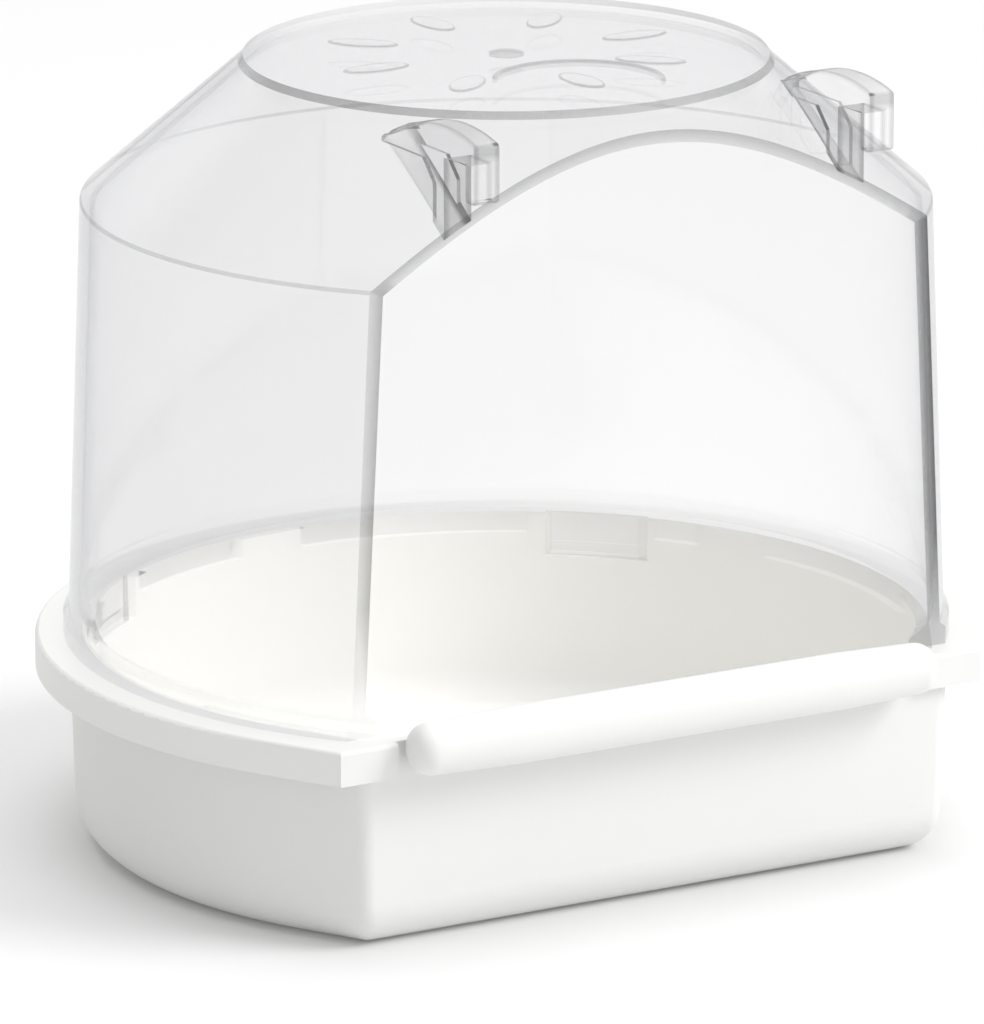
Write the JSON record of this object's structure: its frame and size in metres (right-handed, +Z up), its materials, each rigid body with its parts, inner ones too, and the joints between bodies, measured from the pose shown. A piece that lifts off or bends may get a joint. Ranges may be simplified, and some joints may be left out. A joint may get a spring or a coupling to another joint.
{
  "type": "bird bath",
  "caption": "Clear domed bird bath that hooks over a cage door: open-fronted hood with roof hooks on a shallow white water tray with a perch roll along its front.",
  "frame": {"origin": "on the table plane, on the axis of the round hood and tray", "axes": "+Z up, +X along the straight front, the open front faces -Y"},
  "size_m": [0.14, 0.1231, 0.1198],
  "materials": {
    "tray_plastic": "satin moulded white plastic",
    "roll_plastic": "satin moulded white plastic",
    "hood_clear": "clear polished polystyrene",
    "hook_clear": "clear polished polystyrene"
  },
  "bodies": {
    "tray": {"tray": "tray_plastic", "perch_roll": "roll_plastic"},
    "hood": {"hood": "hood_clear", "hook_left": "hook_clear", "hook_right": "hook_clear"}
  },
  "joints": [
    {"name": "hood_lift", "type": "slide", "parent": "tray", "child": "hood", "axis": [0, 0, 1], "range_m": [0, 0.06]}
  ]
}
